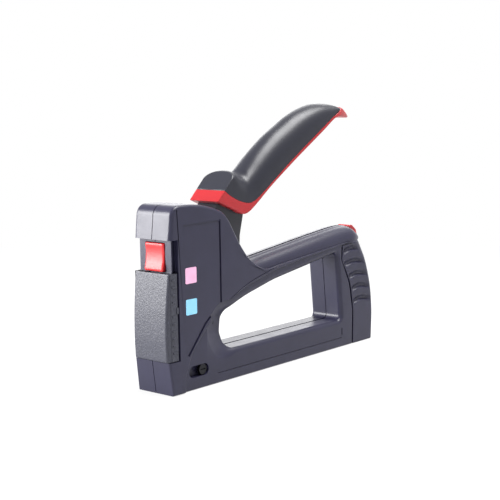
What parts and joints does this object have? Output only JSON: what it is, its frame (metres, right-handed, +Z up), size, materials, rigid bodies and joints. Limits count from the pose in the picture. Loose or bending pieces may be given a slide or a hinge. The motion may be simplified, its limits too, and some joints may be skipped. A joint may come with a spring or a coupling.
{
  "type": "staple gun",
  "caption": "Hand-squeezed staple gun: two-part housing with a finger opening, long sprung lever, striker at the nose, sliding front cover and rear-loading magazine.",
  "frame": {"origin": "centre of the staple exit, on the plane of the flat foot", "axes": "+X runs back along the magazine from the nose, +Y to the left of the tool, +Z up along the striker"},
  "size_m": [0.1712, 0.0244, 0.1367],
  "materials": {
    "housing_plastic": "satin moulded glass-filled nylon",
    "cover_plastic": "fine spark-eroded texture",
    "red_plastic": "semi-gloss moulded ABS",
    "soft_grip": "satin thermoplastic elastomer",
    "zinc_steel": "bright zinc plate",
    "tool_steel": "hardened and oiled",
    "spring_steel": "drawn wire",
    "buffer_rubber": "moulded",
    "black_oxide": "black oxide screws",
    "tongue_nylon": "moulded black nylon"
  },
  "bodies": {
    "housing": {"housing_left": "housing_plastic", "housing_right": "housing_plastic", "housing_screws": "black_oxide", "channel_screws": "zinc_steel", "nose_plate": "zinc_steel", "magazine_channel": "zinc_steel", "strike_buffer": "buffer_rubber", "power_spring": "spring_steel", "spring_seat": "zinc_steel", "rocker_pin": "tool_steel", "lever_pin": "tool_steel", "return_spring": "spring_steel", "button_spring": "spring_steel", "lock_pin": "tool_steel", "detent_ball": "tool_steel", "detent_spring": "spring_steel"},
    "lever": {"lever_shell": "red_plastic", "lever_grip": "soft_grip", "lever_tongue": "tongue_nylon"},
    "rocker": {"lifting_rocker": "tool_steel"},
    "striker": {"plunger": "tool_steel", "driver_blade": "tool_steel", "blade_rivets": "zinc_steel"},
    "cover": {"front_cover": "cover_plastic"},
    "button": {"cover_button": "red_plastic"},
    "magazine": {"magazine_rail": "zinc_steel", "rear_grip": "housing_plastic", "rail_pin": "tool_steel", "pusher_rod": "zinc_steel", "pusher_spring": "spring_steel"},
    "pusher": {"pusher": "zinc_steel"},
    "lock": {"lever_lock": "red_plastic"}
  },
  "joints": [
    {"name": "lever_hinge", "type": "hinge", "parent": "housing", "child": "lever", "pos_m": [0.03, 0, 0.074], "axis": [0, 1, 0], "range_deg": [0, 29], "stiffness_Nm_per_rad": 5, "springref_deg": -14.32},
    {"name": "rocker_hinge", "type": "hinge", "parent": "housing", "child": "rocker", "pos_m": [0.034, 0, 0.05], "axis": [0, 1, 0], "range_deg": [0, 36]},
    {"name": "striker_slide", "type": "slide", "parent": "housing", "child": "striker", "axis": [0, 0, 1], "range_m": [0, 0.01422], "deforming": ["power_spring"]},
    {"name": "cover_slide", "type": "slide", "parent": "housing", "child": "cover", "axis": [0, 0, 1], "range_m": [0, 0.0145]},
    {"name": "button_press", "type": "slide", "parent": "housing", "child": "button", "axis": [1, 0, 0], "range_m": [0, 0.002], "stiffness_N_per_m": 800, "springref_m": -0.001, "deforming": ["button_spring"]},
    {"name": "magazine_pull", "type": "slide", "parent": "housing", "child": "magazine", "axis": [1, 0, 0], "range_m": [0, 0.11]},
    {"name": "pusher_slide", "type": "slide", "parent": "magazine", "child": "pusher", "axis": [1, 0, 0], "range_m": [0, 0.085], "stiffness_N_per_m": 60, "springref_m": -0.05, "deforming": ["pusher_spring"]},
    {"name": "lock_swing", "type": "hinge", "parent": "housing", "child": "lock", "pos_m": [0.1514, 0, 0.0622], "axis": [0, -1, 0], "range_deg": [0, 14]}
  ],
  "couplings": [
    {"joint": "rocker_hinge", "follows": "lever_hinge", "ratio": 1.2413},
    {"joint": "striker_slide", "follows": "lever_hinge", "m_per_rad": 0.028083}
  ]
}
